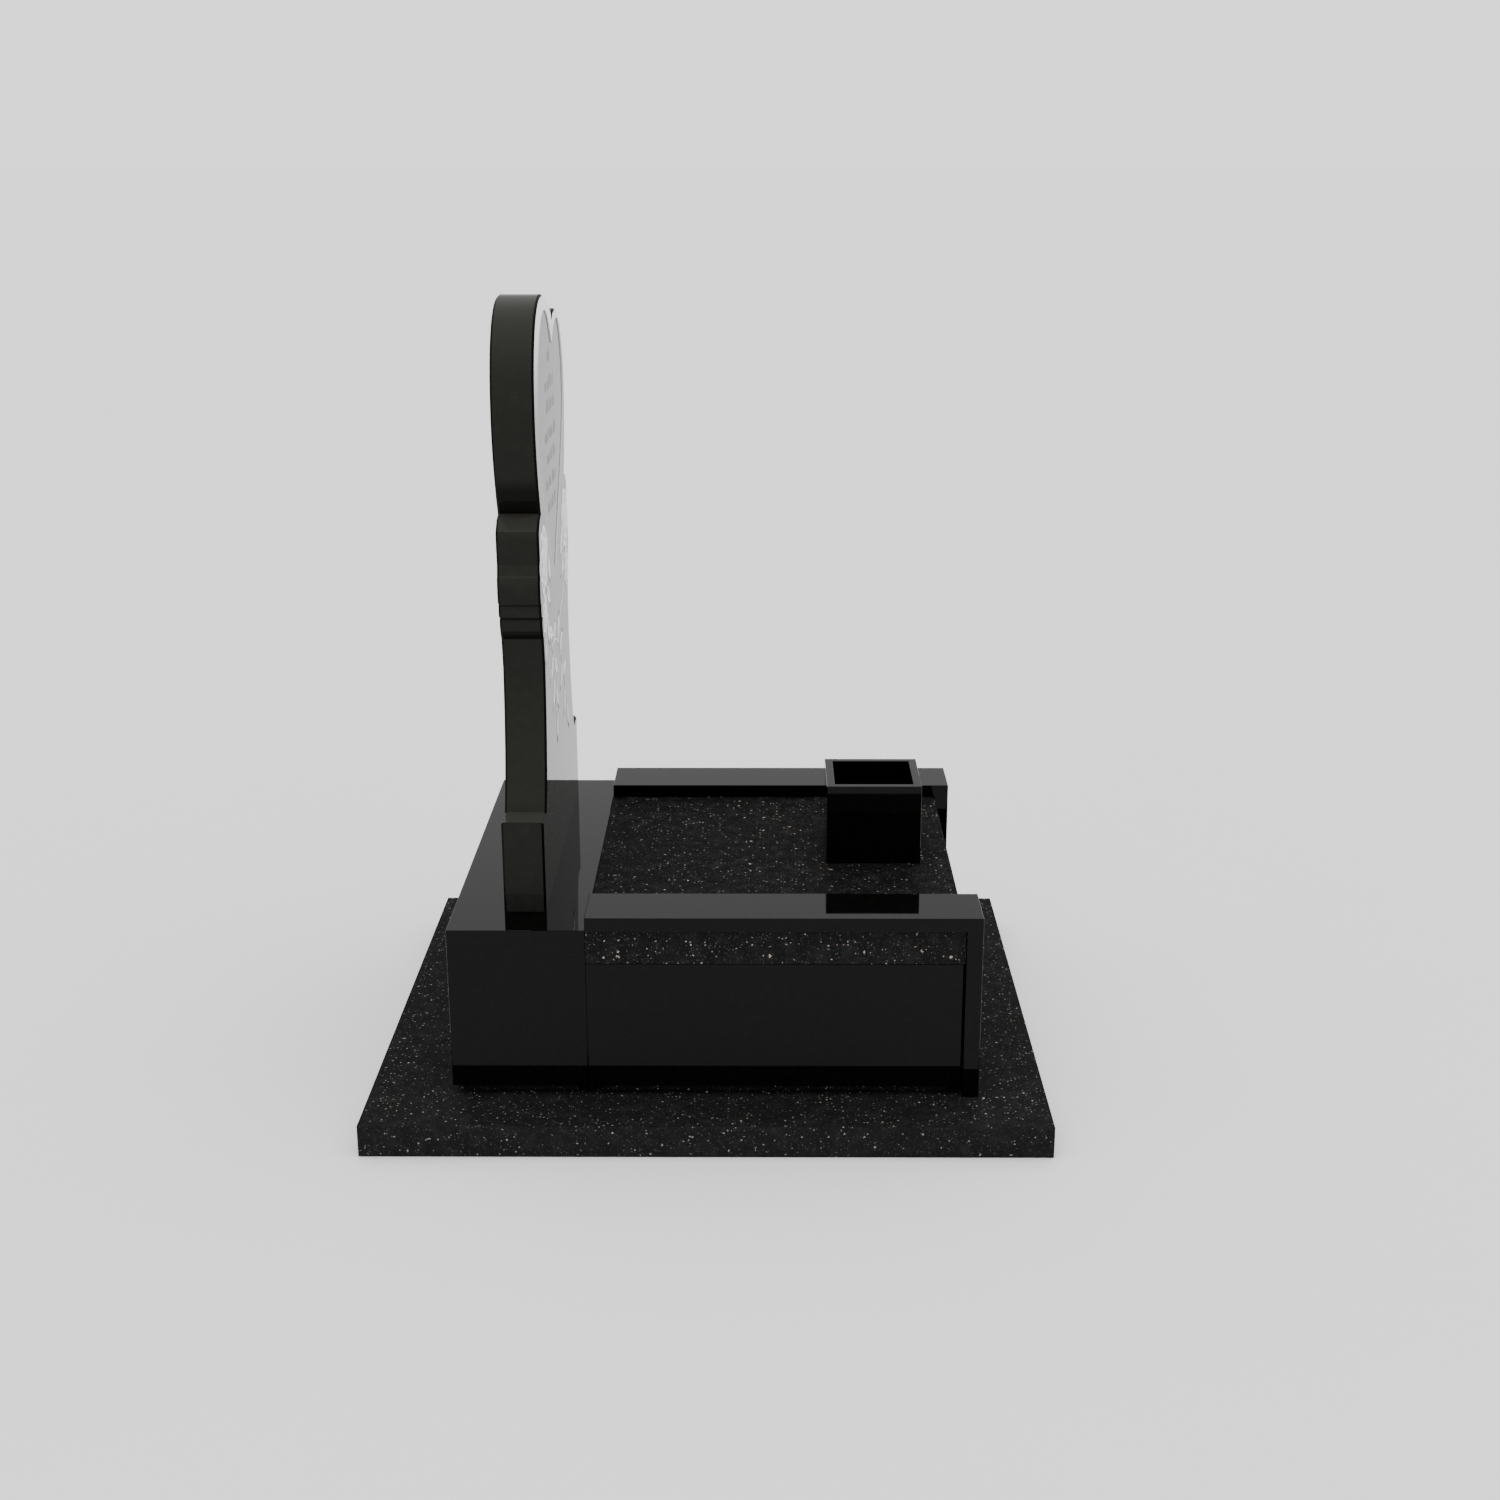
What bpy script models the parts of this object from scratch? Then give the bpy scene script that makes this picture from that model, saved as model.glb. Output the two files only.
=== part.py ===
# Heart headstone on a kerbed grave surround, in polished and speckled black granite.
# Metres, +Z up. The origin is the middle of the foundation's underside.
# +X runs from the headstone to the grave's foot, and the headstone's front faces +X.
# -Y is a front viewer's left hand.
import bpy
import bmesh
from math import radians
from mathutils import Matrix, Vector

# Foundation
FOUNDATION_LENGTH = 1.200
FOUNDATION_WIDTH = 1.065
FOUNDATION_THICKNESS = 0.058

# Plinth under the headstone
HEAD_MARGIN = 0.150
SIDE_MARGIN = 0.118
PLINTH_DEPTH = 0.240
SURROUND_HEIGHT = 0.314

# Kerbs and cover slab
SLAB_LENGTH = 0.660
SLAB_THICKNESS = 0.062
KERB_THICKNESS = 0.080
KERB_SETBACK_AT_POST = 0.0035
SHADOW_GAP = 0.018
SHADOW_DEPTH = 0.020

# Rails on the slab's edges, each turned down as a post at the foot
RAIL_WIDTH = 0.118
RAIL_THICKNESS = 0.025
RAIL_PROUD = 0.006
POST_THICKNESS = 0.028

# Flower vase on the slab
VASE_LENGTH = 0.176
VASE_WIDTH = 0.170
VASE_HEIGHT = 0.152
VASE_WALL = 0.015
VASE_FLOOR = 0.020
VASE_FROM_SLAB_END = 0.057

# Headstone
STONE_WIDTH = 0.656
STONE_HEIGHT = 1.049
STONE_THICKNESS = 0.0745
STONE_FRONT_MARGIN = 0.074
STONE_ARRIS = 0.004
PANEL_DEPTH = 0.002

# The headstone's front, drawn in millimetres from the middle of its foot: distance to
# the right and height. It is scaled to the stone's width and height.
DRAWN_HALF_WIDTH = 328
FOOT_HEIGHT = 167
LEDGE_HALF = 272
LEDGE_CURVE = (243, 230)
BODY_CURVE = (226, 300)
BODY = (221, 415)
NECK = (227, 458)
WAIST = (213, 689)
WAIST_CURVE = (243, 744)
HEART_CURVE = (259, 800)
HEART_SIDE = (259, 857)
LEFT_LOBE = (-102, 1049)
LEFT_LOBE_FALL = (-50, 1049)
CLEFT_APPROACH = (4, 1025)
CLEFT_LEFT_LIP = (54, 1007)
CLEFT = (67, 992)
CLEFT_RIGHT_LIP = (84, 1003)
RIGHT_LOBE = (112, 1006)

# Petals of the shoulders, from the waist down: start, bulge and end of each.
# The first one's top slants down from the waist to its shoulder. Below the second the petals step inwards.
PETAL_TOP = (230, 684)
PETAL_SHOULDER = (251, 666)
PETALS = (
    (PETAL_SHOULDER, (254, 650), (250, 607)),
    ((255, 588), (260, 562), (256, 537)),
    ((251, 535), (252, 525), (248, 511)),
    ((241, 509), (243, 498), (230, 471)),
)

# The heart panel sunk into the front, in the same drawing
PANEL_POINT = (12, 531)
PANEL_LEFT_SIDE = (-205, 838)
PANEL_LEFT_TOP = (-62, 1019)
PANEL_LEFT_TOP_FALL = (-2, 1019)
PANEL_CLEFT_FROM_LEFT = (38, 967)
PANEL_CLEFT = (58, 949)
PANEL_CLEFT_TO_RIGHT = (76, 971)
PANEL_RIGHT_TOP_RISE = (108, 986)
PANEL_RIGHT_TOP = (148, 986)
PANEL_RIGHT_SIDE = (240, 856)
PANEL_RIGHT_FALL = (240, 751)
PANEL_POINT_FROM_RIGHT = (42, 616)
PANEL_LEFT_FALL = (-205, 728)
PANEL_POINT_FROM_LEFT = (-50, 603)

# Finish and fits
ARRIS = 0.001
ARRIS_SEGMENTS = 2
JOINT_GAP = 0.0003
WELD_DISTANCE = 0.00003
CUTTER_MARGIN = 0.010
ROUND_HANDLE = 0.5523
LOBE_HANDLE = 0.62
LOBE_STEPS = 14
FLANK_STEPS = 8
PETAL_STEPS = 5
PANEL_STEPS = 16
SHARP_ANGLE = radians(30)

# Stone colours
SPECKLED_COLOUR = (0.012, 0.012, 0.013)
SPECKLED_ROUGHNESS = 0.35
POLISHED_COLOUR = (0.004, 0.004, 0.004)
POLISHED_ROUGHNESS = 0.06

# Levels and places that follow from the sizes
HEAD_END = -FOUNDATION_LENGTH / 2 + HEAD_MARGIN
PLINTH_FRONT = HEAD_END + PLINTH_DEPTH
HALF_SURROUND = FOUNDATION_WIDTH / 2 - SIDE_MARGIN
BED = FOUNDATION_THICKNESS + JOINT_GAP
TOP = FOUNDATION_THICKNESS + SURROUND_HEIGHT
SLAB_START = PLINTH_FRONT + JOINT_GAP
SLAB_END = SLAB_START + SLAB_LENGTH
SLAB_UNDERSIDE = TOP - SLAB_THICKNESS
KERB_TOP = SLAB_UNDERSIDE - JOINT_GAP
KERB_END = SLAB_END - KERB_SETBACK_AT_POST
RAIL_OUTSIDE = HALF_SURROUND + RAIL_PROUD

parts = bpy.data.collections.new("heart_headstone")
cutters = bpy.data.collections.new("cutters")


def clear_scene():
    for thing in list(bpy.data.objects):
        bpy.data.objects.remove(thing, do_unlink=True)
    for collection in (parts, cutters):
        bpy.context.scene.collection.children.link(collection)


def granite(name, colour, roughness):
    material = bpy.data.materials.new(name)
    material.use_nodes = True
    shader = material.node_tree.nodes["Principled BSDF"]
    shader.inputs["Base Color"].default_value = (*colour, 1.0)
    shader.inputs["Roughness"].default_value = roughness
    shader.inputs["Metallic"].default_value = 0.0
    return material


def add_object(name, mesh, material, collection=None):
    thing = bpy.data.objects.new(name, mesh)
    (collection or parts).objects.link(thing)
    if material:
        mesh.materials.append(material)
    return thing


def break_edges(thing, width=ARRIS):
    """Takes the sharpness off every edge with a narrow rounded arris."""
    bevel = thing.modifiers.new("arris", "BEVEL")
    bevel.width = width
    bevel.segments = ARRIS_SEGMENTS
    bevel.limit_method = "ANGLE"
    bevel.angle_limit = SHARP_ANGLE
    return bevel


def box_mesh(name, low, high):
    """A closed box between two corners, centred on its own origin, and the place of its middle."""
    low = Vector(low)
    high = Vector(high)
    shape = bmesh.new()
    bmesh.ops.create_cube(shape, size=1.0, matrix=Matrix.Diagonal((*(high - low), 1.0)))
    mesh = bpy.data.meshes.new(name)
    shape.to_mesh(mesh)
    shape.free()
    return mesh, (low + high) / 2


def block(name, low, high, material):
    """A sawn and polished block."""
    mesh, middle = box_mesh(name, low, high)
    thing = add_object(name, mesh, material)
    thing.location = middle
    break_edges(thing)
    return thing


def face_towards(shape, direction):
    """The face of a block that looks a given way."""
    return max(shape.faces, key=lambda face: face.normal.dot(Vector(direction)))


def kerb_block(name, low, high, material):
    """A block that stands on a foot set back all round, which leaves a shadow gap below its edges."""
    mesh, middle = box_mesh(name, (low[0], low[1], low[2] + SHADOW_GAP), high)
    shape = bmesh.new()
    shape.from_mesh(mesh)
    shape.normal_update()
    underside = face_towards(shape, (0, 0, -1))
    bmesh.ops.inset_region(shape, faces=[underside], thickness=SHADOW_DEPTH, use_even_offset=True)
    lowered = bmesh.ops.extrude_face_region(shape, geom=[underside])
    corners = [item for item in lowered["geom"] if isinstance(item, bmesh.types.BMVert)]
    bmesh.ops.translate(shape, verts=corners, vec=(0, 0, -SHADOW_GAP))
    if underside.is_valid:
        bmesh.ops.delete(shape, geom=[underside], context="FACES")
    shape.to_mesh(mesh)
    shape.free()
    thing = add_object(name, mesh, material)
    thing.location = middle
    break_edges(thing)
    return thing


def curve_points(start, start_handle, end_handle, end, steps):
    """Points along a cubic curve, without its last one."""
    found = []
    for step in range(steps):
        t = step / steps
        s = 1 - t
        weights = (s ** 3, 3 * s * s * t, 3 * s * t * t, t ** 3)
        controls = (start, start_handle, end_handle, end)
        found.append(tuple(sum(w * c[axis] for w, c in zip(weights, controls)) for axis in (0, 1)))
    return found


def upright_to_level(side, top, steps, handle):
    """A quarter oval from an upright start to a level end, such as half a lobe of the heart."""
    rise = (side[0], side[1] + handle * (top[1] - side[1]))
    run = (top[0] + handle * (side[0] - top[0]), top[1])
    return curve_points(side, rise, run, top, steps)


def level_to_upright(top, side, steps, handle):
    run = (top[0] + handle * (side[0] - top[0]), top[1])
    drop = (side[0], side[1] + handle * (top[1] - side[1]))
    return curve_points(top, run, drop, side, steps)


def flank():
    """The headstone's right side, from the heart's widest place down to the foot."""
    side = curve_points(HEART_SIDE, HEART_CURVE, WAIST_CURVE, WAIST, FLANK_STEPS)
    side += [WAIST, PETAL_TOP]
    for start, bulge, end in PETALS:
        side += level_to_upright(start, bulge, PETAL_STEPS, ROUND_HANDLE)
        side += upright_to_level(bulge, end, PETAL_STEPS, ROUND_HANDLE / 2)
        side.append(end)
    side.append(NECK)
    side += curve_points(BODY, BODY_CURVE, LEDGE_CURVE, (LEDGE_HALF, FOOT_HEIGHT), FLANK_STEPS)
    side.append((LEDGE_HALF, FOOT_HEIGHT))
    side.append((DRAWN_HALF_WIDTH, FOOT_HEIGHT))
    side.append((DRAWN_HALF_WIDTH, 0))
    return side


def mirrored(points):
    return [(-across, height) for across, height in reversed(points)]


def at_size(points):
    """The drawing brought to the headstone's real width and height."""
    across_scale = STONE_WIDTH / (2 * DRAWN_HALF_WIDTH)
    height_scale = STONE_HEIGHT / LEFT_LOBE[1]
    return [(across * across_scale, height * height_scale) for across, height in points]


def stone_outline():
    """The headstone from its front: up its left side, over both lobes, down its right."""
    outline = mirrored(flank())[:-1]
    left_side = (-HEART_SIDE[0], HEART_SIDE[1])
    outline += upright_to_level(left_side, LEFT_LOBE, LOBE_STEPS, LOBE_HANDLE)
    outline += curve_points(LEFT_LOBE, LEFT_LOBE_FALL, CLEFT_APPROACH, CLEFT_LEFT_LIP, LOBE_STEPS)
    outline += [CLEFT_LEFT_LIP, CLEFT, CLEFT_RIGHT_LIP]
    outline += level_to_upright(RIGHT_LOBE, HEART_SIDE, LOBE_STEPS, ROUND_HANDLE)
    return at_size(outline + flank())


def panel_outline():
    """The heart panel, from its left side over the top and down to its point."""
    outline = upright_to_level(PANEL_LEFT_SIDE, PANEL_LEFT_TOP, PANEL_STEPS, ROUND_HANDLE)
    outline += curve_points(
        PANEL_LEFT_TOP, PANEL_LEFT_TOP_FALL, PANEL_CLEFT_FROM_LEFT, PANEL_CLEFT, PANEL_STEPS)
    outline += curve_points(
        PANEL_CLEFT, PANEL_CLEFT_TO_RIGHT, PANEL_RIGHT_TOP_RISE, PANEL_RIGHT_TOP, PANEL_STEPS)
    outline += level_to_upright(PANEL_RIGHT_TOP, PANEL_RIGHT_SIDE, PANEL_STEPS, ROUND_HANDLE)
    outline += curve_points(
        PANEL_RIGHT_SIDE, PANEL_RIGHT_FALL, PANEL_POINT_FROM_RIGHT, PANEL_POINT, PANEL_STEPS)
    outline += curve_points(
        PANEL_POINT, PANEL_POINT_FROM_LEFT, PANEL_LEFT_FALL, PANEL_LEFT_SIDE, PANEL_STEPS)
    return at_size(outline)


def flat_outline(name, points, thickness, chamfer=0.0):
    """A filled outline given a thickness, as one closed mesh in its own plane."""
    curve = bpy.data.curves.new(name, "CURVE")
    curve.dimensions = "2D"
    curve.fill_mode = "BOTH"
    curve.extrude = thickness / 2 - chamfer
    curve.bevel_depth = chamfer
    curve.bevel_resolution = 0
    curve.offset = -chamfer
    spline = curve.splines.new("POLY")
    spline.points.add(len(points) - 1)
    for place, (across, height) in zip(spline.points, points):
        place.co = (across, height, 0.0, 1.0)
    spline.use_cyclic_u = True
    drawn = bpy.data.objects.new(name, curve)
    parts.objects.link(drawn)
    bpy.context.view_layer.update()
    evaluated = drawn.evaluated_get(bpy.context.evaluated_depsgraph_get())
    mesh = bpy.data.meshes.new_from_object(evaluated)
    mesh.name = name
    bpy.data.objects.remove(drawn, do_unlink=True)
    bpy.data.curves.remove(curve)
    shape = bmesh.new()
    shape.from_mesh(mesh)
    bmesh.ops.remove_doubles(shape, verts=shape.verts, dist=WELD_DISTANCE)
    bmesh.ops.recalc_face_normals(shape, faces=shape.faces)
    shape.to_mesh(mesh)
    shape.free()
    mesh.materials.clear()
    return mesh


def facing_foot(thing, location):
    """Stands a flat outline up so that its width runs along Y and its front faces +X."""
    thing.rotation_euler = (radians(90), 0.0, radians(90))
    thing.location = location


def along_side(thing, location):
    """Stands a flat outline up so that it runs along X and its thickness along Y."""
    thing.rotation_euler = (radians(90), 0.0, 0.0)
    thing.location = location


def cut(thing, cutter):
    cutter.hide_render = True
    cutter.display_type = "WIRE"
    boolean = thing.modifiers.new("sunk_panel", "BOOLEAN")
    boolean.operation = "DIFFERENCE"
    boolean.solver = "EXACT"
    boolean.object = cutter


def make_headstone(material):
    front = PLINTH_FRONT - STONE_FRONT_MARGIN
    middle = front - STONE_THICKNESS / 2
    slab = flat_outline("headstone", stone_outline(), STONE_THICKNESS, STONE_ARRIS)
    stone = add_object("headstone", slab, material)
    facing_foot(stone, (middle, 0.0, TOP + JOINT_GAP))
    depth = PANEL_DEPTH + CUTTER_MARGIN
    sinking = flat_outline("panel_cutter", panel_outline(), depth)
    cutter = add_object("panel_cutter", sinking, None, cutters)
    facing_foot(cutter, (front - PANEL_DEPTH + depth / 2, 0.0, TOP + JOINT_GAP))
    cut(stone, cutter)
    stone.data.shade_smooth()
    stone.data.set_sharp_from_angle(angle=SHARP_ANGLE)


def make_rail(name, side, material):
    """A strip on the slab's edge whose foot end turns down as a post to the foundation."""
    strip_bottom = TOP + JOINT_GAP
    strip_top = strip_bottom + RAIL_THICKNESS
    post_start = SLAB_END + JOINT_GAP
    post_end = post_start + POST_THICKNESS
    profile = (
        (SLAB_START, strip_bottom),
        (post_start, strip_bottom),
        (post_start, BED),
        (post_end, BED),
        (post_end, strip_top),
        (SLAB_START, strip_top),
    )
    rail = add_object(name, flat_outline(name, profile, RAIL_WIDTH), material)
    along_side(rail, (0.0, side * (RAIL_OUTSIDE - RAIL_WIDTH / 2), 0.0))
    break_edges(rail)


def make_vase(material):
    middle = SLAB_END - VASE_FROM_SLAB_END - VASE_LENGTH / 2
    bottom = TOP + JOINT_GAP
    low = (middle - VASE_LENGTH / 2, -VASE_WIDTH / 2, bottom)
    high = (middle + VASE_LENGTH / 2, VASE_WIDTH / 2, bottom + VASE_HEIGHT)
    mesh, place = box_mesh("flower_vase", low, high)
    shape = bmesh.new()
    shape.from_mesh(mesh)
    shape.normal_update()
    mouth = face_towards(shape, (0, 0, 1))
    bmesh.ops.inset_region(shape, faces=[mouth], thickness=VASE_WALL, use_even_offset=True)
    sunk = bmesh.ops.extrude_face_region(shape, geom=[mouth])
    corners = [item for item in sunk["geom"] if isinstance(item, bmesh.types.BMVert)]
    bmesh.ops.translate(shape, verts=corners, vec=(0, 0, VASE_FLOOR - VASE_HEIGHT))
    if mouth.is_valid:
        bmesh.ops.delete(shape, geom=[mouth], context="FACES")
    shape.to_mesh(mesh)
    shape.free()
    vase = add_object("flower_vase", mesh, material)
    vase.location = place
    break_edges(vase)


def make_surround(speckled, polished):
    half_length = FOUNDATION_LENGTH / 2
    half_width = FOUNDATION_WIDTH / 2
    low = (-half_length, -half_width, 0.0)
    high = (half_length, half_width, FOUNDATION_THICKNESS)
    block("foundation_slab", low, high, speckled)
    low = (HEAD_END, -HALF_SURROUND, BED)
    high = (PLINTH_FRONT, HALF_SURROUND, TOP)
    kerb_block("headstone_plinth", low, high, polished)
    inner = HALF_SURROUND - KERB_THICKNESS
    low = (SLAB_START, -HALF_SURROUND, BED)
    high = (KERB_END, -inner, KERB_TOP)
    kerb_block("left_kerb", low, high, polished)
    low = (SLAB_START, inner, BED)
    high = (KERB_END, HALF_SURROUND, KERB_TOP)
    kerb_block("right_kerb", low, high, polished)
    low = (KERB_END - KERB_THICKNESS, JOINT_GAP - inner, BED)
    high = (KERB_END, inner - JOINT_GAP, KERB_TOP)
    kerb_block("foot_kerb", low, high, polished)
    low = (SLAB_START, -HALF_SURROUND, SLAB_UNDERSIDE)
    high = (SLAB_END, HALF_SURROUND, TOP)
    block("cover_slab", low, high, speckled)
    make_rail("left_rail", -1, polished)
    make_rail("right_rail", 1, polished)


def main():
    clear_scene()
    speckled = granite("speckled_black_granite", SPECKLED_COLOUR, SPECKLED_ROUGHNESS)
    polished = granite("polished_black_granite", POLISHED_COLOUR, POLISHED_ROUGHNESS)
    make_surround(speckled, polished)
    make_headstone(polished)
    make_vase(polished)


main()
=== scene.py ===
# %% [markdown]
# # A heart headstone in polished black granite
#
# This lesson dresses a granite memorial. The stones themselves come as fixed solids: a foundation, a
# plinth, three kerbs, a cover slab, two rails, the headstone and a square vase. What is added here is
# what a mason's polishing wheel, sandblaster and chisel leave on them.

import math
import random

import bmesh
import bpy
from mathutils import Matrix, Vector


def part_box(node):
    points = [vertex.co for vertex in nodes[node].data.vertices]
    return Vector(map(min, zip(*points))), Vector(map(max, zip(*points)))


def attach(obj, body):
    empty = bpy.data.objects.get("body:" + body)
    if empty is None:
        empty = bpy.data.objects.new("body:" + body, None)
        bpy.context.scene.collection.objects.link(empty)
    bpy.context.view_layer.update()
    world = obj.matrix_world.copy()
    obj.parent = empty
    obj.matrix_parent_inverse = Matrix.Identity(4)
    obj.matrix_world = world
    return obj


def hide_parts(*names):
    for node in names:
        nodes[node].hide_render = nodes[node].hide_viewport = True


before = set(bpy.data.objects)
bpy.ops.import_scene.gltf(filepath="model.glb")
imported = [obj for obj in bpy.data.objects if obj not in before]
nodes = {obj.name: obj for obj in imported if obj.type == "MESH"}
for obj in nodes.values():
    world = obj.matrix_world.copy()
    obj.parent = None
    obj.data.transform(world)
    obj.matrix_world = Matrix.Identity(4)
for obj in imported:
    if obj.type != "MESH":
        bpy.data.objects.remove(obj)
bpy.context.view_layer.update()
print("stones:", ", ".join(sorted(nodes)))

# %% [markdown]
# ## The camera
#
# The camera stands at the grave's side, a little over a person's height, and looks down at 17.5 degrees.
# Its place and its lens were worked out from the straight edges of the stones. Three plain turns make its
# direction: the roll of the camera body, then the tilt, and last the turn about the upright axis.

# %% Camera
CAMERA_PLACE = (0.1001, -3.6743, 1.7254)
CAMERA_DOWN = 17.474
CAMERA_LEFT = 0.4137
CAMERA_ROLL = -0.0877
CAMERA_LENS = 48.93
SENSOR_WIDTH = 36.0

lens = bpy.data.cameras.new("camera")
lens.lens = CAMERA_LENS
lens.sensor_width = SENSOR_WIDTH
camera = bpy.data.objects.new("camera", lens)
bpy.context.scene.collection.objects.link(camera)
turn = Matrix.Rotation(math.radians(CAMERA_LEFT), 4, "Z")
tilt = Matrix.Rotation(math.radians(90 - CAMERA_DOWN), 4, "X")
roll = Matrix.Rotation(math.radians(CAMERA_ROLL), 4, "Z")
camera.matrix_world = Matrix.Translation(CAMERA_PLACE) @ turn @ tilt @ roll
bpy.context.scene.camera = camera
view = camera.matrix_world.to_3x3() @ Vector((0, 0, -1))
print("camera looks along", tuple(round(share, 3) for share in view))

# %% [markdown]
# ## The studio
#
# Polished stone shows little of its own colour. Nearly all that is seen on it is a mirror image of the
# room, so the room is part of the finish. A lamp with an edge would print that edge on every curved
# surface. So this room has no lamp: its walls and ceiling glow, and the tone goes softly from one to the
# next. They are as pale as the floor at eye level, so that no horizon line shows, a little darker above
# it, and brightest overhead, which lights what looks up.

# %% Floor and glowing room
FLOOR_HALF = 60.0
FLOOR_DROP = 0.0005
FLOOR_TONE = (0.83, 0.83, 0.83, 1.0)
EYE_LEVEL_TONE = (1.65, 1.65, 1.65, 1.0)
UPPER_TONE = (0.95, 0.95, 0.95, 1.0)
OVERHEAD_TONE = (2.60, 2.60, 2.60, 1.0)
WALL_FADE = (3, 15)
CEILING_FADE = (18, 80)


def deselect_all():
    if bpy.context.mode != "OBJECT":
        bpy.ops.object.mode_set(mode="OBJECT")
    bpy.ops.object.select_all(action="DESELECT")


deselect_all()
bpy.ops.mesh.primitive_plane_add(size=2 * FLOOR_HALF, location=(0.0, 0.0, -FLOOR_DROP))
floor = bpy.context.object
floor.name = "studio_floor"
bpy.ops.object.transform_apply(location=True, rotation=True, scale=True)

room = bpy.data.worlds.new("pale_room")
room.use_nodes = True
walls = room.node_tree.nodes
direction = walls.new("ShaderNodeTexCoord")
upwards = walls.new("ShaderNodeSeparateXYZ")
room.node_tree.links.new(direction.outputs["Generated"], upwards.inputs[0])


def fade(first, second, start, end):
    """One tone that turns into another between two elevations in degrees."""
    share = walls.new("ShaderNodeMapRange")
    share.interpolation_type = "SMOOTHSTEP"
    share.inputs["From Min"].default_value = math.sin(math.radians(start))
    share.inputs["From Max"].default_value = math.sin(math.radians(end))
    tone = walls.new("ShaderNodeMix")
    tone.data_type = "RGBA"
    tone.inputs[7].default_value = second
    room.node_tree.links.new(upwards.outputs["Z"], share.inputs["Value"])
    room.node_tree.links.new(share.outputs["Result"], tone.inputs[0])
    if isinstance(first, bpy.types.NodeSocket):
        room.node_tree.links.new(first, tone.inputs[6])
    else:
        tone.inputs[6].default_value = first
    return tone.outputs[2]


wall_tone = fade(EYE_LEVEL_TONE, UPPER_TONE, *WALL_FADE)
ceiling_tone = fade(wall_tone, OVERHEAD_TONE, *CEILING_FADE)
room.node_tree.links.new(ceiling_tone, walls["Background"].inputs["Color"])
bpy.context.scene.world = room
print("the room goes from", UPPER_TONE[0], "to", OVERHEAD_TONE[0])

# %% [markdown]
# ## Writing finishes as sums
#
# A finish is a web of shader nodes. Written node by node it takes pages, so two small classes help. A Wire
# is one output that can be added, multiplied or compared like a number, and each sum adds its Math node.
# A Finish is one material: its add method makes any node from its type, its settings and its inputs.

# %% Wires and finishes
class Wire:
    """An output of a node that can be used in sums."""

    def __init__(self, finish, socket):
        self.finish = finish
        self.socket = socket

    def sum_with(self, operation, first, second):
        return self.finish.add("ShaderNodeMath", {"operation": operation}, {0: first, 1: second})

    def __add__(self, other):
        return self.sum_with("ADD", self, other)

    def __radd__(self, other):
        return self.sum_with("ADD", other, self)

    def __sub__(self, other):
        return self.sum_with("SUBTRACT", self, other)

    def __rsub__(self, other):
        return self.sum_with("SUBTRACT", other, self)

    def __mul__(self, other):
        return self.sum_with("MULTIPLY", self, other)

    def __rmul__(self, other):
        return self.sum_with("MULTIPLY", other, self)

    def __gt__(self, other):
        return self.sum_with("GREATER_THAN", self, other)


class Finish:
    """One material, with a Principled shader that its wires end in."""

    def __init__(self, name, roughness, ior, gloss=0.5):
        self.material = bpy.data.materials.new(name)
        self.material.use_nodes = True
        self.tree = self.material.node_tree
        self.shader = self.tree.nodes["Principled BSDF"]
        self.shader.inputs["Roughness"].default_value = roughness
        self.shader.inputs["IOR"].default_value = ior
        self.shader.inputs["Specular IOR Level"].default_value = gloss
        self.place = self.add("ShaderNodeTexCoord", {}, {}, "Object")

    def join(self, socket, value):
        if isinstance(value, Wire):
            self.tree.links.new(value.socket, socket)
        else:
            socket.default_value = value

    def add(self, kind, settings, inputs, output=0):
        node = self.tree.nodes.new(kind)
        for name, value in settings.items():
            if name == "stops":
                self.set_stops(node.color_ramp, value)
            else:
                setattr(node, name, value)
        for name, value in inputs.items():
            self.join(node.inputs[name], value)
        return Wire(self, node.outputs[output])

    def set_stops(self, ramp, stops):
        while len(ramp.elements) < len(stops):
            ramp.elements.new(1.0)
        for element, (position, colour) in zip(ramp.elements, stops):
            element.position = position
            element.color = colour

    def blend(self, share, first, second):
        """A colour between two others."""
        return self.add("ShaderNodeMix", {"data_type": "RGBA"}, {0: share, 6: first, 7: second}, 2)

    def between(self, value, low, high):
        """0 below low, 1 above high and a soft step between them."""
        settings = {"interpolation_type": "SMOOTHSTEP"}
        inputs = {"Value": value, "From Min": low, "From Max": high, "To Min": 0.0, "To Max": 1.0}
        return self.add("ShaderNodeMapRange", settings, inputs)

    def noise(self, scale, detail=2.0, roughness=0.5):
        inputs = {"Vector": self.place, "Scale": scale, "Detail": detail, "Roughness": roughness}
        return self.add("ShaderNodeTexNoise", {}, inputs, "Fac")

    def part_of(self, wire, axis):
        """One number out of a vector."""
        return self.add("ShaderNodeSeparateXYZ", {}, {0: wire}, axis)

    def end_in(self, name, wire):
        self.join(self.shader.inputs[name], wire)


print("wires and finishes are ready")

# %% [markdown]
# ## Black granite, polished to a mirror
#
# The darkest granite is a mass of small black crystals. Polished, it has hardly any colour, a trace of
# grain that shows only close up, and a gloss that grows steeply towards a grazing view. The shader does
# that by itself from a low roughness and an index of refraction. The index is a little low for stone, as
# the pale sheen on these faces is. Polish is never quite even, so the roughness drifts a little.

# %% Polished black granite
POLISH_ROUGHNESS = 0.03
POLISH_INDEX = 1.20
JET = (0.0012, 0.0012, 0.0011, 1.0)
JET_GRAIN = (0.0034, 0.0034, 0.0032, 1.0)


def polish(finish, dull=0.0):
    """Lets the gloss drift a little over a stone, as hand-held polishing leaves it."""
    drift = finish.noise(9.0, 3.0)
    finish.end_in("Roughness", POLISH_ROUGHNESS * (0.6 + 0.8 * drift) + dull)


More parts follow.
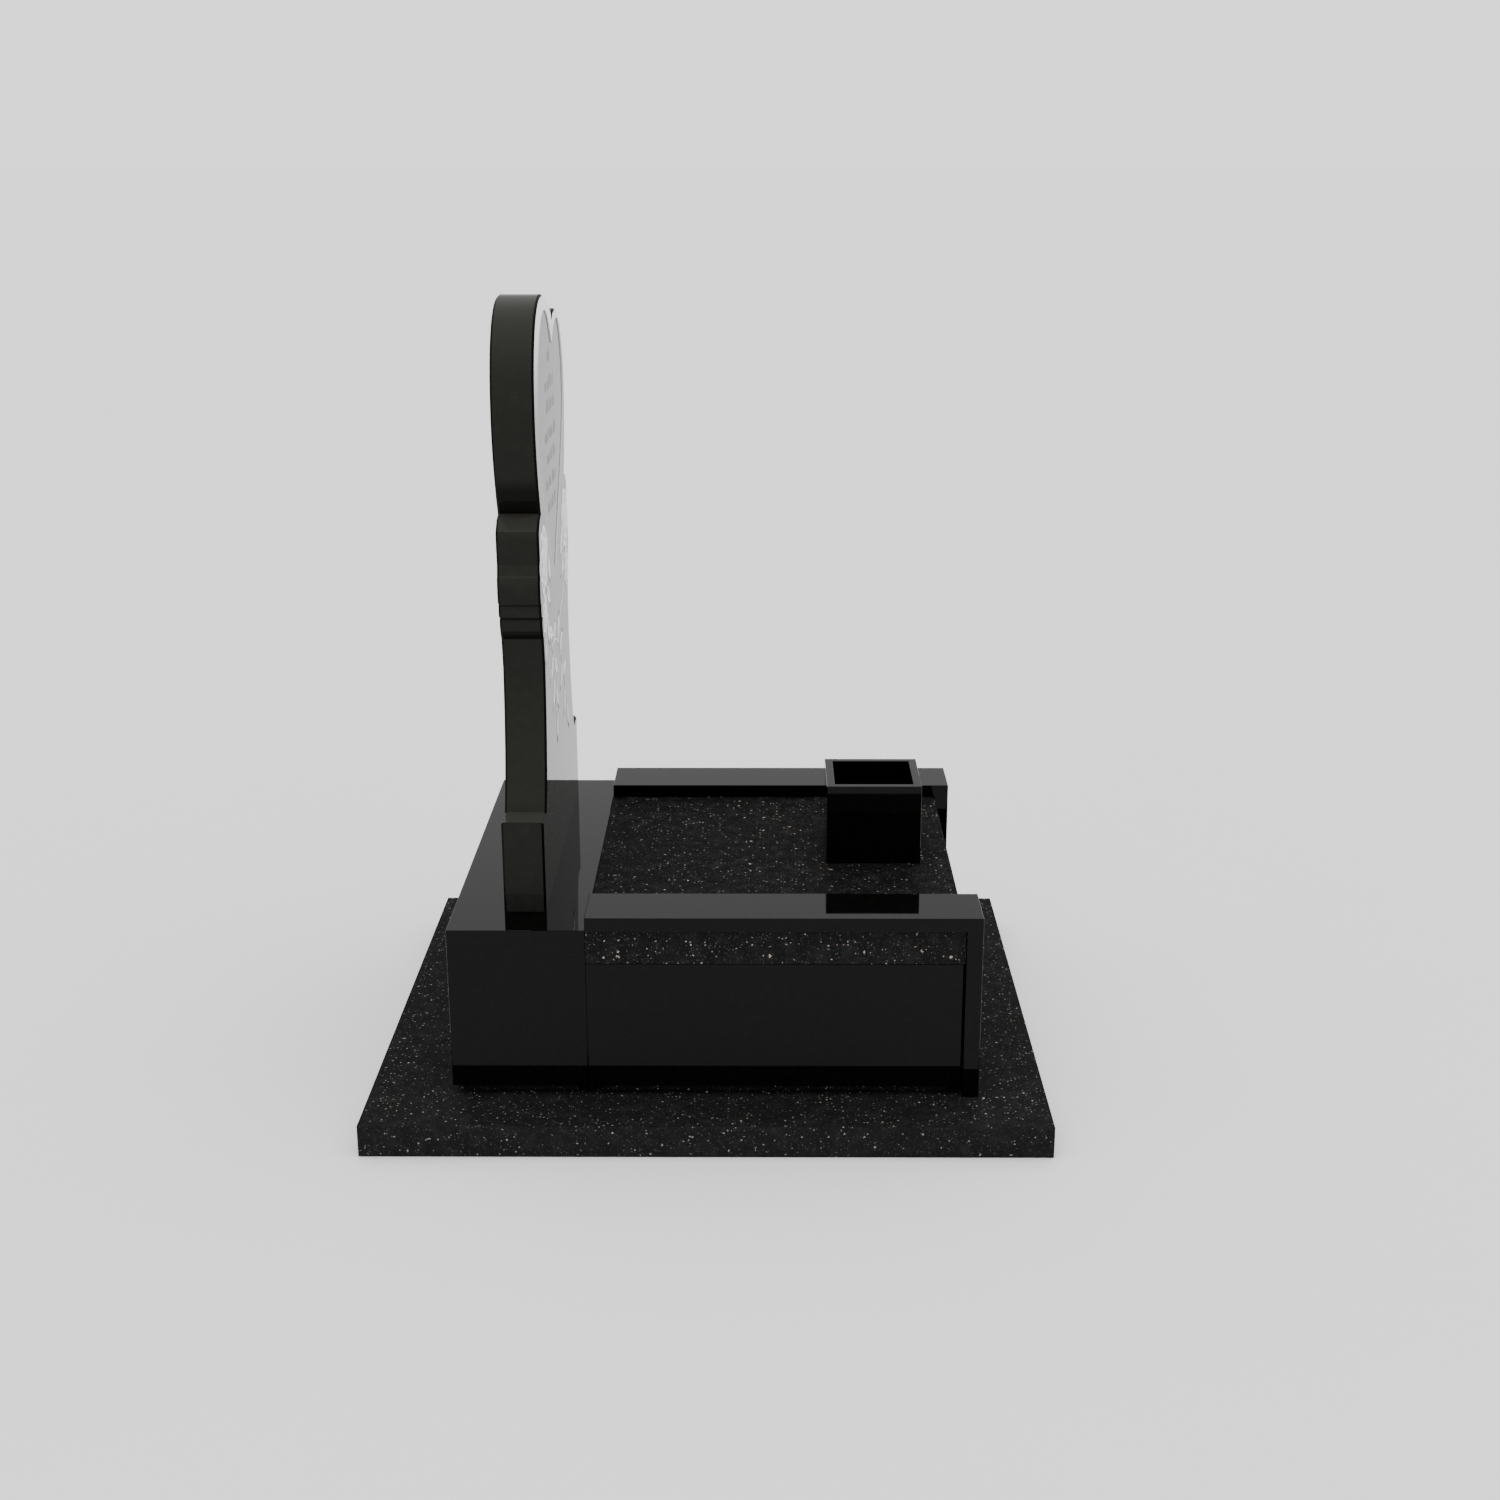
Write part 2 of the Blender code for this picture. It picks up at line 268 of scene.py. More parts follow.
def jet_colour(finish, dark=JET, light=JET_GRAIN):
    grain = finish.add("ShaderNodeTexVoronoi", {}, {"Vector": finish.place, "Scale": 900.0}, "Color")
    brightness = finish.part_of(grain, 0)
    cloud = finish.noise(60.0, 3.0)
    return finish.blend(finish.between(brightness * cloud, 0.15, 0.75), dark, light)


jet = Finish("polished_black_granite", POLISH_ROUGHNESS, POLISH_INDEX)
jet.end_in("Base Color", jet_colour(jet))
polish(jet)
print("made", jet.material.name)

# %% [markdown]
# ## Black granite with flecks
#
# The foundation and the cover slab are of another quarry's stone: dark, clouded with grey patches, and
# full of small angular flecks in white, grey, gold and pink. Voronoi cells give one fleck each. A cell's
# own random colour decides if it holds a fleck, how large it is and its tint, and a little noise in the
# coordinates makes the flecks angular. Three sizes of cell are laid over each other. The slab's upright
# edges show more flecks, and a painted reflection of the pale floor, which their polish would mirror,
# makes them a little greyer than its top. The foundation's ground is painted lighter all over, painted
# light that makes up for the shade the kerbs put on it, a little more on its upright faces, and it has
# more flecks.

# %% Speckled black granite
FLECK_PALETTE = (
    (0.0, (0.40, 0.40, 0.39, 1.0)),
    (0.45, (0.22, 0.22, 0.215, 1.0)),
    (0.62, (0.31, 0.25, 0.18, 1.0)),
    (0.78, (0.33, 0.25, 0.22, 1.0)),
    (1.0, (0.55, 0.54, 0.52, 1.0)),
)
SPECKLED_DARK = (0.0051, 0.0050, 0.0050, 1.0)
SPECKLED_CLOUD = (0.0121, 0.0120, 0.0120, 1.0)
SPECKLED_PATCH = (0.0325, 0.0323, 0.0322, 1.0)
# The paler grey that painted light and painted reflection lift the flecked ground to.
PAINTED_LIGHT_GREY = (0.0226, 0.0224, 0.0225, 1.0)

# Cells in a metre, the share of them with a fleck, the fleck's size in its cell and its strength.
FLECK_SIZES = (
    (330.0, 0.22, 0.32, 0.28),
    (150.0, 0.22, 0.28, 0.60),
    (80.0, 0.12, 0.24, 0.85),
)


def upright_share(finish):
    """1 on a stone's upright edges and 0 on its top: the mask of their painted reflection."""
    facing = finish.add("ShaderNodeNewGeometry", {}, {}, "Normal")
    return 1.0 - finish.between(finish.part_of(facing, 2), 0.3, 0.7)


def flecks(finish, cells_per_metre, share, size, strength):
    """How much of a fleck there is at a place, and the fleck's tint."""
    jitter = finish.add(
        "ShaderNodeTexNoise", {},
        {"Vector": finish.place, "Scale": cells_per_metre * 2.2, "Detail": 1.0}, "Color")
    shift = finish.add("ShaderNodeVectorMath", {"operation": "SUBTRACT"}, {0: jitter, 1: (0.5, 0.5, 0.5)})
    small = finish.add(
        "ShaderNodeVectorMath", {"operation": "SCALE"}, {0: shift, "Scale": 0.7 / cells_per_metre})
    shaken = finish.add("ShaderNodeVectorMath", {"operation": "ADD"}, {0: finish.place, 1: small})
    cell_inputs = {"Vector": shaken, "Scale": cells_per_metre}
    distance = finish.add("ShaderNodeTexVoronoi", {}, cell_inputs, "Distance")
    chance = finish.add("ShaderNodeTexVoronoi", {}, cell_inputs, "Color")
    luck = finish.part_of(chance, 0)
    tint = finish.part_of(chance, 1)
    brightness = finish.part_of(chance, 2)
    radius = size * (0.35 + 0.65 * brightness)
    inside = finish.between(radius - distance, 0.0, 0.06)
    held = luck > (1.0 - share)
    ramp = {"stops": FLECK_PALETTE}
    colour = finish.add("ShaderNodeValToRGB", ramp, {0: tint}, "Color")
    return inside * held * (strength * (0.25 + 0.75 * brightness)), colour


def speckled_colour(finish, painted_light, density):
    """A clouded ground that painted light makes greyer, and flecks, more or fewer by their density."""
    cloud = finish.noise(38.0, 4.0, 0.6)
    ground = finish.blend(finish.between(cloud, 0.42, 0.72), SPECKLED_DARK, SPECKLED_CLOUD)
    patches = finish.between(finish.noise(210.0, 3.0, 0.65), 0.54, 0.76)
    ground = finish.blend(patches, ground, SPECKLED_PATCH)
    # Painted light: the ground is lifted towards a paler grey.
    ground = finish.blend(painted_light, ground, PAINTED_LIGHT_GREY)
    for cells_per_metre, share, size, strength in FLECK_SIZES:
        amount, tint = flecks(finish, cells_per_metre, share * density, size, strength)
        ground = finish.blend(amount, ground, tint)
    return ground


HONED_ROUGHNESS = 0.45
HONED_GLOSS = 0.02
# Painted reflection on the slab's upright edges, and more flecks there.
EDGE_PAINTED_SHEEN = 0.20
EDGE_DENSITY = 0.9
# Painted light that lifts the foundation's ground, a little more on its upright faces, and more flecks.
GROUND_PAINTED_LIGHT = 0.20
GROUND_EDGE_PAINTED_SHEEN = 0.10
GROUND_DENSITY = 1.7


def honed(name):
    """A dull flecked stone, and the mask of its upright edges for their painted reflection."""
    finish = Finish(name, HONED_ROUGHNESS, POLISH_INDEX, HONED_GLOSS)
    finish.end_in("Roughness", HONED_ROUGHNESS + 0.2 * (finish.noise(140.0, 2.0) - 0.5))
    return finish, upright_share(finish)


# The slab's upright edges get a painted reflection and more flecks.
slab_finish, upright_sheen_and_flecks = honed("speckled_slab_granite")
slab_finish.end_in(
    "Base Color", speckled_colour(slab_finish, EDGE_PAINTED_SHEEN * upright_sheen_and_flecks, 1.0 + EDGE_DENSITY * upright_sheen_and_flecks))
# Painted light on the foundation's ground, a little more on its upright faces.
ground_finish, upright_sheen_and_flecks = honed("speckled_foundation_granite")
ground_painted_light = GROUND_PAINTED_LIGHT + GROUND_EDGE_PAINTED_SHEEN * upright_sheen_and_flecks
ground_finish.end_in("Base Color", speckled_colour(ground_finish, ground_painted_light, GROUND_DENSITY))
print("made", slab_finish.material.name, ground_finish.material.name)

# %% [markdown]
# ## Kerbs on a recessed foot
#
# Kerbs and plinth stand on a foot that is set back behind their lower edge. The foot is of the same
# flecked stone as the foundation and carries the same painted light, so from a step away the shadow
# gap, which lies in shade, looks like more foundation. The height above the ground decides which of
# the two stones is seen.

# %% Two stones in one finish
GAP_HEIGHT = 0.0175
GAP_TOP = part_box("foundation_slab")[1].z + GAP_HEIGHT

kerb_finish = Finish("polished_kerb_granite", POLISH_ROUGHNESS, POLISH_INDEX)
height = kerb_finish.part_of(kerb_finish.place, 2)
above = height > GAP_TOP
# Below the gap the foot carries the foundation's painted light.
kerb_finish.end_in(
    "Base Color", kerb_finish.blend(
        above, speckled_colour(kerb_finish, GROUND_PAINTED_LIGHT, GROUND_DENSITY), jet_colour(kerb_finish)))
polish(kerb_finish)
print("the kerbs' foot is flecked below", round(GAP_TOP, 4))

# %% [markdown]
# ## Frosted granite
#
# Where the polish is taken off with a sandblaster the black stone turns pale grey and dull, because its
# broken surface scatters light. The border of the heart is frosted, and so are the carved roses and
# leaves. The grain is fine and sharp, so a small bump goes with it. The border carries a painted
# highlight that makes it palest at the top, where its edge looks up to the bright room, and the cut edge
# of the panel is painted pale all along, painted light in that shaded recess. On the carving the raised
# lips carry a painted highlight and the hollows a painted shade. The carved meshes hold that as a vertex
# attribute, from 0 in a hollow to 1 on a lip.

# %% Frosted finish
FROST_DARK = (0.17, 0.17, 0.17, 1.0)
FROST_LIGHT = (0.31, 0.31, 0.31, 1.0)
# The pale grey of the painted highlights and painted light on the frost.
PAINTED_LIGHT_PALE = (0.92, 0.92, 0.92, 1.0)
# The grey of the painted shade in the carving's hollows.
HOLLOW_PAINTED_SHADE = (0.24, 0.24, 0.24, 1.0)
FROST_ROUGHNESS = 0.28
FROST_INDEX = 1.22
# Where the border's painted highlight runs, how pale the cut edge is painted, and the hollows' painted
# shade.
BORDER_HIGHLIGHT_START = 0.20
BORDER_HIGHLIGHT_END = 0.02
CUT_EDGE_PAINTED_LIGHT = 0.94
HOLLOW_SHADE_SHARE = 0.82


def frost(name):
    """A blasted surface: the finish, and the mottled grey that it starts from."""
    finish = Finish(name, FROST_ROUGHNESS, FROST_INDEX)
    grain = finish.noise(1400.0, 2.0, 0.7)
    cloud = finish.noise(70.0, 4.0, 0.6)
    colour = finish.blend(
        finish.between(0.6 * grain + 0.4 * cloud, 0.3, 0.7), FROST_DARK, FROST_LIGHT)
    finish.end_in("Roughness", FROST_ROUGHNESS + 0.2 * (grain - 0.5))
    finish.end_in("Normal", finish.add(
        "ShaderNodeBump", {}, {"Strength": 0.35, "Distance": 0.0004, "Height": grain}, "Normal"))
    return finish, colour


stone_low, stone_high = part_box("headstone")

frosted_border, border_grey = frost("frosted_border")
border_height = frosted_border.part_of(frosted_border.place, 2)
# Painted highlight: the border is painted paler towards the top.
top_highlight = frosted_border.between(
    border_height, stone_high.z - BORDER_HIGHLIGHT_START, stone_high.z - BORDER_HIGHLIGHT_END)
frosted_border.end_in("Base Color", frosted_border.blend(top_highlight, border_grey, PAINTED_LIGHT_PALE))

cut_edge, edge_grey = frost("frosted_cut_edge")
# Painted light: the cut edge in its shaded recess is painted almost as pale as the highlights.
cut_edge.end_in("Base Color", cut_edge.blend(CUT_EDGE_PAINTED_LIGHT, edge_grey, PAINTED_LIGHT_PALE))

frosted_carving, carving_grey = frost("frosted_carving")
# Painted shade in the hollows and a painted highlight on the lips, read from a vertex attribute.
rise = frosted_carving.add("ShaderNodeAttribute", {"attribute_name": "rise"}, {}, "Fac")
hollow = frosted_carving.blend(HOLLOW_SHADE_SHARE, carving_grey, HOLLOW_PAINTED_SHADE)
frosted_carving.end_in("Base Color", frosted_carving.blend(rise, hollow, PAINTED_LIGHT_PALE))
print("made", frosted_border.material.name, cut_edge.material.name, frosted_carving.material.name)

# %% Paint in the strokes
PAINT_DARK = (0.040, 0.040, 0.040, 1.0)
PAINT_LIGHT = (0.085, 0.085, 0.085, 1.0)
PAINT_ROUGHNESS = 0.45
PAINT_INDEX = 1.10

silver = Finish("silver_letter_paint", PAINT_ROUGHNESS, PAINT_INDEX)
silver_cloud = silver.noise(500.0, 3.0)
silver.end_in("Base Color", silver.blend(silver_cloud, PAINT_DARK, PAINT_LIGHT))
silver.end_in("Roughness", 0.35 + 0.25 * silver_cloud)
print("made", silver.material.name)

# %% [markdown]
# ## Dressing the plain stones
#
# The foundation, plinth, kerbs, slab, rails and vase are right as they stand, so they only change their
# material.

# %% Give each stone its granite
DRESSING = {
    "foundation_slab": ground_finish,
    "cover_slab": slab_finish,
    "headstone_plinth": kerb_finish,
    "left_kerb": kerb_finish,
    "right_kerb": kerb_finish,
    "foot_kerb": kerb_finish,
    "left_rail": jet,
    "right_rail": jet,
    "flower_vase": jet,
}
for name, finish in DRESSING.items():
    for slot in nodes[name].material_slots:
        slot.material = finish.material
    print(name, "is", finish.material.name)

# %% [markdown]
# ## The headstone
#
# The solid has the true outline, the arris and the sunk heart panel. It needs four finishes: the polish,
# the frosted border round the heart, the pale cut edge of the panel and the paint in the strokes. A
# material slot each is the plain way, and for that the front is cut along the border's edge. So a copy of
# the solid is made and its loose triangles are merged into clean faces.

# %% Start from the solid
WELD = 0.00002
FLAT_ANGLE = math.radians(0.5)


def choose(thing):
    """Selects one object alone and makes it the active one."""
    deselect_all()
    thing.select_set(True)
    bpy.context.view_layer.objects.active = thing


def select_where(kind, test):
    """In edit mode, selects the vertices, edges or faces that pass a test, and counts them."""
    shape = bmesh.from_edit_mesh(bpy.context.object.data)
    bpy.ops.mesh.select_all(action="DESELECT")
    bpy.ops.mesh.select_mode(type={"verts": "VERT", "edges": "EDGE", "faces": "FACE"}[kind])
    found = [item for item in getattr(shape, kind) if test(item)]
    for item in found:
        item.select_set(True)
    bmesh.update_edit_mesh(bpy.context.object.data)
    return len(found)


choose(nodes["headstone"])
bpy.ops.object.duplicate()
stone = bpy.context.object
stone.name = "carved_headstone"
for key in list(stone.keys()):
    del stone[key]
stone.parent = None
stone.data.materials.clear()
bpy.ops.object.mode_set(mode="EDIT")
bpy.ops.mesh.select_all(action="SELECT")
bpy.ops.mesh.remove_doubles(threshold=WELD)
bpy.ops.mesh.dissolve_limited(angle_limit=FLAT_ANGLE)
bpy.ops.mesh.customdata_custom_splitnormals_clear()
bpy.ops.object.mode_set(mode="OBJECT")
print("clean faces:", len(stone.data.polygons))

# %% [markdown]
# A stone that stands on another is sawn sharp along its bed, so that the joint closes. The arris along the
# bottom is therefore brought down first. The border follows the outline down to the waist, and from there
# the two sides of the heart's point at an even distance. Bisect cuts the front along those lines: one
# level line at the waist and one slanted line on each side.

# %% Cut the border's edge into the front
FRONT = stone_high.x
BASE = stone_low.z
FRONT_SKIN = 0.0003
FACES_OUT = 0.999
STONE_ARRIS = 0.004
BED_SKIN = 0.001
PANEL_DEPTH = 0.002
PANEL_REACH = 0.245
PANEL_TOP = 1.030
WAIST_HEIGHT = 0.689
POINT_LEFT = ((-0.154, 0.694), (-0.030, 0.500))
POINT_RIGHT = ((0.188, 0.694), (0.030, 0.500))


def is_front(face):
    return face.normal.x > FACES_OUT and face.calc_center_median().x > FRONT - FRONT_SKIN


def cut_front(place, normal):
    select_where("faces", is_front)
    bpy.ops.mesh.bisect(plane_co=place, plane_no=normal, use_fill=False)


def slanted(line, side):
    """A point on a slanted line of the front, and the direction away from the heart."""
    (y1, z1), (y2, z2) = line
    along = Vector((0.0, y2 - y1, z2 - z1)).normalized()
    away = Vector((0.0, -along.z, along.y)) * side
    return Vector((FRONT, y1, BASE + z1)), away


choose(stone)
bpy.ops.object.mode_set(mode="EDIT")
lowest = select_where("verts", lambda v: BASE + BED_SKIN < v.co.z < BASE + 1.1 * STONE_ARRIS)
bpy.ops.transform.translate(value=(0.0, 0.0, -STONE_ARRIS))
print("corners brought down to the bed:", lowest)
cut_front((FRONT, 0.0, BASE + WAIST_HEIGHT), (0.0, 0.0, 1.0))
edges_of_point = [slanted(POINT_LEFT, -1), slanted(POINT_RIGHT, 1)]
for place, away in edges_of_point:
    cut_front(place, away)
bpy.ops.object.mode_set(mode="OBJECT")
print("faces after the cuts:", len(stone.data.polygons))

# %% [markdown]
# The polish of the headstone has a trace of warm grey that the plinth's stone doesn't have. The curved
# edge is given a painted sheen, greyer where it looks up to the bright overhead room, and a painted
# shade, darker where it looks down. The upward share of the surface's normal says where that is. Its
# outward share finds the narrow arris round the front and back, which is duller and painted the
# blackest line of all, a painted dark reflection.

# %% Finishes of the headstone
STONE_INDEX = 1.11
STONE_JET = (0.0130, 0.0130, 0.0113, 1.0)
STONE_GRAIN = (0.0190, 0.0190, 0.0167, 1.0)
# Painted sheen where the edge looks up, and painted shade where it looks down.
STONE_PAINTED_SHEEN = (0.0275, 0.0275, 0.0240, 1.0)
STONE_SHADE = (0.0050, 0.0050, 0.0041, 1.0)
# Painted dark reflection: the arris is painted nearly black.
ARRIS_PAINTED_BLACK = (0.0006, 0.0006, 0.0005, 1.0)
ARRIS_DULLNESS = 0.45
EDGE_SLOT = 3
BORDER_SLOT = 1

stone_finish = Finish("polished_headstone_granite", POLISH_ROUGHNESS, STONE_INDEX)
facing = stone_finish.add("ShaderNodeNewGeometry", {}, {}, "Normal")
outward = stone_finish.part_of(facing, 0)
upward = stone_finish.part_of(facing, 2)
slant = outward * outward
on_arris = stone_finish.between(slant, 0.12, 0.30) * (1.0 - stone_finish.between(slant, 0.72, 0.90))
looks_down = stone_finish.between(0.0 - upward, 0.31, 0.39)
# Painted sheen on faces that look up, painted shade on faces that look down.
upward_sheen = stone_finish.blend(
    upward * (upward > 0.0), jet_colour(stone_finish, STONE_JET, STONE_GRAIN), STONE_PAINTED_SHEEN)
with_shade = stone_finish.blend(looks_down, upward_sheen, STONE_SHADE)
# Painted dark reflection on the arris.
stone_finish.end_in("Base Color", stone_finish.blend(on_arris, with_shade, ARRIS_PAINTED_BLACK))
polish(stone_finish, ARRIS_DULLNESS * on_arris)
for finish in (stone_finish, frosted_border, silver, cut_edge):
    stone.data.materials.append(finish.material)


def is_cut_edge(face):
    centre = face.center
    inside = abs(centre.y) < PANEL_REACH and centre.z < BASE + PANEL_TOP
    upright = abs(face.normal.x) < 0.1
    return inside and upright and FRONT - PANEL_DEPTH < centre.x < FRONT - FRONT_SKIN


def in_border(face):
    centre = face.center
    if face.normal.x < FACES_OUT or centre.x < FRONT - FRONT_SKIN:
        return False
    if centre.z > BASE + WAIST_HEIGHT:
        return True
    return all((centre - place).dot(away) < 0 for place, away in edges_of_point)


edge_faces = [face for face in stone.data.polygons if is_cut_edge(face)]
border_faces = [face for face in stone.data.polygons if in_border(face)]
for face in edge_faces:
    face.material_index = EDGE_SLOT
for face in border_faces:
    face.material_index = BORDER_SLOT
print("cut edge faces:", len(edge_faces), "border faces:", len(border_faces))

# %% [markdown]
# ## The inscription
#
# The inscription is seven centred rows of short chisel strokes that spell nothing. A stroke is narrow,
# drawn in at both ends and deepest along its middle. It is modelled once as a slim bar, copied along the
# rows with a small random lean, all to one side, joined and then cut out of the panel with one Boolean,
# which leaves the painted inside of each groove.

# %% One chisel stroke
PANEL_FACE = FRONT - PANEL_DEPTH
STROKE_LENGTH = 0.023
STROKE_WIDTH = 0.0084
STROKE_DEPTH = 0.0018
END_WIDTH = 0.45

deselect_all()
bpy.ops.mesh.primitive_cylinder_add(
    vertices=6, radius=0.5, depth=1.0, location=(0.0, 0.0, 0.0))
chisel = bpy.context.object
chisel.name = "chisel_stroke"
bpy.ops.object.mode_set(mode="EDIT")
select_where("verts", lambda v: v.co.z > 0.4 or v.co.z < -0.4)
bpy.ops.mesh.subdivide(number_cuts=2)
select_where("verts", lambda v: abs(v.co.z) > 0.45)
bpy.ops.transform.resize(value=(END_WIDTH, END_WIDTH, 1.0))
bpy.ops.object.mode_set(mode="OBJECT")
chisel.scale = (2 * STROKE_DEPTH, STROKE_WIDTH, STROKE_LENGTH)
bpy.ops.object.transform_apply(location=False, rotation=False, scale=True)
chisel.data.materials.append(silver.material)
print("one stroke:", len(chisel.data.polygons), "faces")

# %% Seven rows of strokes
ROW_STEP = 0.0103
WORD_LENGTHS = (3, 6)
LEANS = (0, 0, 1, 2, 3, 4, 6)
SHORT = 0.72
ROWS = (
    (-0.013, 0.027, 0.932),
    (-0.064, 0.080, 0.883),
    (-0.055, 0.090, 0.844),
    (-0.088, 0.090, 0.795),
    (-0.060, 0.074, 0.755),
    (-0.090, 0.076, 0.712),
    (-0.066, 0.058, 0.669),
)
chance = random.Random(7)
strokes = []
for start, end, level in ROWS:
    across = start
    word_left = chance.randint(*WORD_LENGTHS)
    while across <= end:
        if word_left == 0:
            across += ROW_STEP
            word_left = chance.randint(*WORD_LENGTHS)
            continue
        copy = chisel.copy()
        copy.data = chisel.data.copy()
        bpy.context.scene.collection.objects.link(copy)
        lean = math.radians(chance.choice(LEANS))
        length = chance.choice((SHORT, SHORT, 1.0))
        lift = (length - SHORT) * STROKE_LENGTH / 2
        copy.matrix_world = (
            Matrix.Translation((PANEL_FACE, across, BASE + level + lift))
            @ Matrix.Rotation(lean, 4, "X") @ Matrix.Diagonal((1.0, 1.0, length, 1.0)))
        strokes.append(copy)
        word_left -= 1
        across += ROW_STEP
bpy.data.objects.remove(chisel)
deselect_all()
for copy in strokes:
    copy.select_set(True)
bpy.context.view_layer.objects.active = strokes[0]
bpy.ops.object.join()
strokes = bpy.context.object
bpy.ops.object.transform_apply(location=True, rotation=True, scale=True)
print("stroke faces:", len(strokes.data.polygons))

# %% Cut the strokes out of the panel
choose(stone)
cutting = stone.modifiers.new("strokes", "BOOLEAN")
cutting.operation = "DIFFERENCE"
cutting.solver = "EXACT"
cutting.material_mode = "TRANSFER"
cutting.object = strokes
bpy.ops.object.modifier_apply(modifier="strokes")
bpy.data.objects.remove(strokes)
print("headstone faces:", len(stone.data.polygons))
print("materials:", [slot.material.name for slot in stone.material_slots])

# %% Soften the headstone's edges
STONE_SMOOTHING = math.radians(24)
bpy.ops.object.shade_smooth_by_angle(angle=STONE_SMOOTHING)
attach(stone, "root")
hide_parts("headstone")

# %% [markdown]
# ## Carved roses
#
# A rose fills each shoulder, with a smaller one below it. A carver works a rose from the rim inwards: six
# broad petals, five more that overlap them, four at the heart and a tight bud. One petal is modelled as
# a shallow dish with a raised lip, from a short cylinder whose top is inset three times: raised once and
# then pushed down twice. The rings are copies of it, smaller and higher ring by ring.

# %% One petal
PETAL_SIDES = 20


def mark_relief_shade(thing, measure):
    """Keeps on every vertex how far it rises, from 0 in a hollow to 1 on a lip, for painted shade and
    highlight.
    """
    rise = thing.data.attributes.new("rise", "FLOAT", "POINT")
    for vertex, mark in zip(thing.data.vertices, rise.data):
        mark.value = min(1.0, max(0.0, measure(vertex.co)))


def make_petal():
    deselect_all()
    bpy.ops.mesh.primitive_cylinder_add(
        vertices=PETAL_SIDES, radius=1.0, depth=1.0, location=(0, 0, 0.5))
    petal = bpy.context.object
    petal.name = "petal"
    bpy.ops.object.transform_apply(location=True, rotation=False, scale=False)
    bpy.ops.object.mode_set(mode="EDIT")
    select_where("faces", lambda face: face.normal.z > 0.9)
    bpy.ops.mesh.inset(thickness=0.10)
    bpy.ops.transform.translate(value=(0.0, 0.0, 0.10))
    bpy.ops.mesh.inset(thickness=0.12)
    bpy.ops.transform.translate(value=(0.0, 0.0, -0.14))
    bpy.ops.mesh.inset(thickness=0.36)
    bpy.ops.transform.translate(value=(0.0, 0.0, -0.34))
    bpy.ops.object.mode_set(mode="OBJECT")
    # Painted highlight on the petal's lip and painted shade in its dish.
    mark_relief_shade(petal, lambda place: 0.25 if place.z < 0.01 else (place.z - 0.60) / 0.50)
    return petal


petal = make_petal()
print("one petal:", len(petal.data.polygons), "faces")

# %% [markdown]
# The rings are given as shares of the rose's radius: how many petals, how far out they sit, how long and
# how wide each is, and how high its lip stands.

# %% Lay the petals round each rose
RINGS = (
    (6, 0.56, 0.44, 0.46, 0.45, 0.0),
    (5, 0.37, 0.38, 0.36, 0.68, 24.0),
    (4, 0.19, 0.27, 0.25, 0.86, 50.0),
    (1, 0.03, 0.15, 0.13, 1.0, 10.0),
)
ROSES = (
    (-0.192, 0.604, 0.060, 12.0),
    (-0.196, 0.508, 0.037, 40.0),
    (0.192, 0.604, 0.060, -12.0),
    (0.196, 0.508, 0.037, -40.0),
)
CARVING_HEIGHT = 0.0022
SINK = 0.0004
TO_FRONT = Matrix(((0, 0, 1, 0), (1, 0, 0, 0), (0, 1, 0, 0), (0, 0, 0, 1)))


def on_front(across, level, turned=0.0):
    """The frame of a carving on the front: its own Z points out of the stone."""
    place = Matrix.Translation((FRONT - SINK, across, BASE + level))
    return place @ TO_FRONT @ Matrix.Rotation(math.radians(turned), 4, "Z")


def copied(template, matrix):
    copy = template.copy()
    copy.data = template.data.copy()
    copy.data.transform(matrix)
    copy.matrix_world = Matrix.Identity(4)
    bpy.context.scene.collection.objects.link(copy)
    return copy


def joined(things, name):
    deselect_all()
    for thing in things:
        thing.select_set(True)
    bpy.context.view_layer.objects.active = things[0]
    bpy.ops.object.join()
    bpy.context.object.name = name
    return bpy.context.object


petals = []
for across, level, radius, turned in ROSES:
    for count, out, length, width, lip, offset in RINGS:
        for number in range(count):
            angle = offset + 360.0 * number / count
            shape = Matrix.Diagonal((radius * width, radius * length, CARVING_HEIGHT * lip, 1.0))
            outwards = Matrix.Translation((radius * out, 0.0, 0.0))
            petals.append(copied(petal, on_front(across, level, turned + angle) @ outwards @ shape))
bpy.data.objects.remove(petal)
roses = joined(petals, "carved_roses")
print("roses:", len(roses.data.polygons), "faces")

# %% Round the roses
LIP_ROUND = 0.0005
LIP_ANGLE = math.radians(25)
ROSE_SMOOTHING = math.radians(60)

rounding = roses.modifiers.new("rounding", "BEVEL")
rounding.width = LIP_ROUND
rounding.segments = 2
rounding.limit_method = "ANGLE"
rounding.angle_limit = LIP_ANGLE
bpy.ops.object.modifier_apply(modifier="rounding")
bpy.ops.object.shade_smooth_by_angle(angle=ROSE_SMOOTHING)
roses.data.materials.clear()
roses.data.materials.append(frosted_carving.material)
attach(roses, "root")

# %% [markdown]
# ## Leaves and stems
#
# Leaves lie between the roses and hang from two stems that cross below the heart. A leaf is a disc drawn
# out to a point, higher in the middle, with a groove for its vein: bisect gives it a line down the middle,
# and that line is then pressed in. Each stem is a round bar along a curve, half sunk in the stone.

# %% One leaf
LEAF_SIDES = 18


